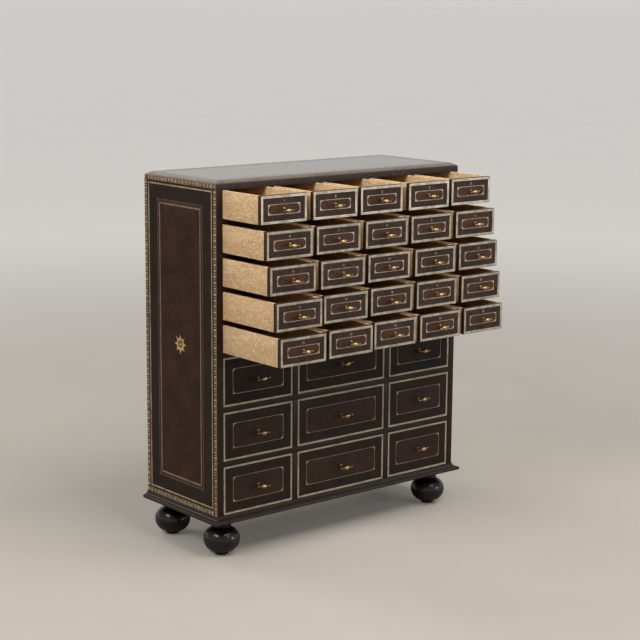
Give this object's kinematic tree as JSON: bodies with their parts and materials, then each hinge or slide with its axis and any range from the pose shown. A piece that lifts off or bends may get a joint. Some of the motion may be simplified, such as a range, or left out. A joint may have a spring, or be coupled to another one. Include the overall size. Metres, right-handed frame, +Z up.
{
  "type": "apothecary chest",
  "caption": "Floor-standing apothecary chest: rows of small drawers over rows of larger ones, leather-clad, with brass pulls, a base moulding and turned bun feet.",
  "frame": {"origin": "on the floor, below the middle of the box round the whole model with the small drawers standing open as in the picture", "axes": "+Z up, +X to the right along the front, the drawers pull out towards -Y"},
  "size_m": [0.9776, 0.6454, 1.1072],
  "materials": {
    "case_wood": "dark stained, waxed",
    "case_leather": "dark tooled leather",
    "drawer_wood": "plain, unpolished",
    "foot_wood": "dark, polished",
    "facing_leather": "tooled leather on the fronts",
    "pull_brass": "aged brass"
  },
  "bodies": {
    "case": {"left_side": "case_wood", "right_side": "case_wood", "top_board": "case_wood", "bottom_board": "case_wood", "back_panel": "case_wood", "middle_shelf": "case_wood", "small_shelf_1": "case_wood", "small_shelf_2": "case_wood", "small_shelf_3": "case_wood", "small_shelf_4": "case_wood", "large_shelf_1": "case_wood", "large_shelf_2": "case_wood", "small_partition_1": "case_wood", "small_partition_2": "case_wood", "small_partition_3": "case_wood", "small_partition_4": "case_wood", "large_partition_1": "case_wood", "large_partition_2": "case_wood", "left_leather": "case_leather", "right_leather": "case_leather", "top_leather": "case_leather", "base_moulding": "case_wood", "foot_front_left": "foot_wood", "foot_front_right": "foot_wood", "foot_back_left": "foot_wood", "foot_back_right": "foot_wood"},
    "small_drawer_1_1": {"small_drawer_1_1": "drawer_wood"},
    "small_drawer_1_2": {"small_drawer_1_2": "drawer_wood"},
    "small_drawer_1_3": {"small_drawer_1_3": "drawer_wood"},
    "small_drawer_1_4": {"small_drawer_1_4": "drawer_wood"},
    "small_drawer_1_5": {"small_drawer_1_5": "drawer_wood"},
    "small_drawer_2_1": {"small_drawer_2_1": "drawer_wood"},
    "small_drawer_2_2": {"small_drawer_2_2": "drawer_wood"},
    "small_drawer_2_3": {"small_drawer_2_3": "drawer_wood"},
    "small_drawer_2_4": {"small_drawer_2_4": "drawer_wood"},
    "small_drawer_2_5": {"small_drawer_2_5": "drawer_wood"},
    "small_drawer_3_1": {"small_drawer_3_1": "drawer_wood"},
    "small_drawer_3_2": {"small_drawer_3_2": "drawer_wood"},
    "small_drawer_3_3": {"small_drawer_3_3": "drawer_wood"},
    "small_drawer_3_4": {"small_drawer_3_4": "drawer_wood"},
    "small_drawer_3_5": {"small_drawer_3_5": "drawer_wood"},
    "small_drawer_4_1": {"small_drawer_4_1": "drawer_wood"},
    "small_drawer_4_2": {"small_drawer_4_2": "drawer_wood"},
    "small_drawer_4_3": {"small_drawer_4_3": "drawer_wood"},
    "small_drawer_4_4": {"small_drawer_4_4": "drawer_wood"},
    "small_drawer_4_5": {"small_drawer_4_5": "drawer_wood"},
    "small_drawer_5_1": {"small_drawer_5_1": "drawer_wood"},
    "small_drawer_5_2": {"small_drawer_5_2": "drawer_wood"},
    "small_drawer_5_3": {"small_drawer_5_3": "drawer_wood"},
    "small_drawer_5_4": {"small_drawer_5_4": "drawer_wood"},
    "small_drawer_5_5": {"small_drawer_5_5": "drawer_wood"},
    "large_drawer_1_1": {"large_drawer_1_1": "drawer_wood"},
    "large_drawer_1_2": {"large_drawer_1_2": "drawer_wood"},
    "large_drawer_1_3": {"large_drawer_1_3": "drawer_wood"},
    "large_drawer_2_1": {"large_drawer_2_1": "drawer_wood"},
    "large_drawer_2_2": {"large_drawer_2_2": "drawer_wood"},
    "large_drawer_2_3": {"large_drawer_2_3": "drawer_wood"},
    "large_drawer_3_1": {"large_drawer_3_1": "drawer_wood"},
    "large_drawer_3_2": {"large_drawer_3_2": "drawer_wood"},
    "large_drawer_3_3": {"large_drawer_3_3": "drawer_wood"}
  },
  "joints": [
    {"name": "small_drawer_1_1_slide", "type": "slide", "parent": "case", "child": "small_drawer_1_1", "axis": [0, -1, 0], "range_m": [-0.175, 0.125]},
    {"name": "small_drawer_1_2_slide", "type": "slide", "parent": "case", "child": "small_drawer_1_2", "axis": [0, -1, 0], "range_m": [-0.178, 0.122]},
    {"name": "small_drawer_1_3_slide", "type": "slide", "parent": "case", "child": "small_drawer_1_3", "axis": [0, -1, 0], "range_m": [-0.17, 0.13]},
    {"name": "small_drawer_1_4_slide", "type": "slide", "parent": "case", "child": "small_drawer_1_4", "axis": [0, -1, 0], "range_m": [-0.175, 0.125]},
    {"name": "small_drawer_1_5_slide", "type": "slide", "parent": "case", "child": "small_drawer_1_5", "axis": [0, -1, 0], "range_m": [-0.165, 0.135]},
    {"name": "small_drawer_2_1_slide", "type": "slide", "parent": "case", "child": "small_drawer_2_1", "axis": [0, -1, 0], "range_m": [-0.201, 0.099]},
    {"name": "small_drawer_2_2_slide", "type": "slide", "parent": "case", "child": "small_drawer_2_2", "axis": [0, -1, 0], "range_m": [-0.194, 0.106]},
    {"name": "small_drawer_2_3_slide", "type": "slide", "parent": "case", "child": "small_drawer_2_3", "axis": [0, -1, 0], "range_m": [-0.194, 0.106]},
    {"name": "small_drawer_2_4_slide", "type": "slide", "parent": "case", "child": "small_drawer_2_4", "axis": [0, -1, 0], "range_m": [-0.188, 0.112]},
    {"name": "small_drawer_2_5_slide", "type": "slide", "parent": "case", "child": "small_drawer_2_5", "axis": [0, -1, 0], "range_m": [-0.187, 0.113]},
    {"name": "small_drawer_3_1_slide", "type": "slide", "parent": "case", "child": "small_drawer_3_1", "axis": [0, -1, 0], "range_m": [-0.216, 0.084]},
    {"name": "small_drawer_3_2_slide", "type": "slide", "parent": "case", "child": "small_drawer_3_2", "axis": [0, -1, 0], "range_m": [-0.214, 0.086]},
    {"name": "small_drawer_3_3_slide", "type": "slide", "parent": "case", "child": "small_drawer_3_3", "axis": [0, -1, 0], "range_m": [-0.206, 0.094]},
    {"name": "small_drawer_3_4_slide", "type": "slide", "parent": "case", "child": "small_drawer_3_4", "axis": [0, -1, 0], "range_m": [-0.207, 0.093]},
    {"name": "small_drawer_3_5_slide", "type": "slide", "parent": "case", "child": "small_drawer_3_5", "axis": [0, -1, 0], "range_m": [-0.203, 0.097]},
    {"name": "small_drawer_4_1_slide", "type": "slide", "parent": "case", "child": "small_drawer_4_1", "axis": [0, -1, 0], "range_m": [-0.245, 0.055]},
    {"name": "small_drawer_4_2_slide", "type": "slide", "parent": "case", "child": "small_drawer_4_2", "axis": [0, -1, 0], "range_m": [-0.228, 0.072]},
    {"name": "small_drawer_4_3_slide", "type": "slide", "parent": "case", "child": "small_drawer_4_3", "axis": [0, -1, 0], "range_m": [-0.219, 0.081]},
    {"name": "small_drawer_4_4_slide", "type": "slide", "parent": "case", "child": "small_drawer_4_4", "axis": [0, -1, 0], "range_m": [-0.216, 0.084]},
    {"name": "small_drawer_4_5_slide", "type": "slide", "parent": "case", "child": "small_drawer_4_5", "axis": [0, -1, 0], "range_m": [-0.217, 0.083]},
    {"name": "small_drawer_5_1_slide", "type": "slide", "parent": "case", "child": "small_drawer_5_1", "axis": [0, -1, 0], "range_m": [-0.263, 0.037]},
    {"name": "small_drawer_5_2_slide", "type": "slide", "parent": "case", "child": "small_drawer_5_2", "axis": [0, -1, 0], "range_m": [-0.252, 0.048]},
    {"name": "small_drawer_5_3_slide", "type": "slide", "parent": "case", "child": "small_drawer_5_3", "axis": [0, -1, 0], "range_m": [-0.236, 0.064]},
    {"name": "small_drawer_5_4_slide", "type": "slide", "parent": "case", "child": "small_drawer_5_4", "axis": [0, -1, 0], "range_m": [-0.233, 0.067]},
    {"name": "small_drawer_5_5_slide", "type": "slide", "parent": "case", "child": "small_drawer_5_5", "axis": [0, -1, 0], "range_m": [-0.231, 0.069]},
    {"name": "large_drawer_1_1_slide", "type": "slide", "parent": "case", "child": "large_drawer_1_1", "axis": [0, -1, 0], "range_m": [0, 0.3]},
    {"name": "large_drawer_1_2_slide", "type": "slide", "parent": "case", "child": "large_drawer_1_2", "axis": [0, -1, 0], "range_m": [0, 0.3]},
    {"name": "large_drawer_1_3_slide", "type": "slide", "parent": "case", "child": "large_drawer_1_3", "axis": [0, -1, 0], "range_m": [0, 0.3]},
    {"name": "large_drawer_2_1_slide", "type": "slide", "parent": "case", "child": "large_drawer_2_1", "axis": [0, -1, 0], "range_m": [0, 0.3]},
    {"name": "large_drawer_2_2_slide", "type": "slide", "parent": "case", "child": "large_drawer_2_2", "axis": [0, -1, 0], "range_m": [0, 0.3]},
    {"name": "large_drawer_2_3_slide", "type": "slide", "parent": "case", "child": "large_drawer_2_3", "axis": [0, -1, 0], "range_m": [0, 0.3]},
    {"name": "large_drawer_3_1_slide", "type": "slide", "parent": "case", "child": "large_drawer_3_1", "axis": [0, -1, 0], "range_m": [0, 0.3]},
    {"name": "large_drawer_3_2_slide", "type": "slide", "parent": "case", "child": "large_drawer_3_2", "axis": [0, -1, 0], "range_m": [0, 0.3]},
    {"name": "large_drawer_3_3_slide", "type": "slide", "parent": "case", "child": "large_drawer_3_3", "axis": [0, -1, 0], "range_m": [0, 0.3]}
  ]
}
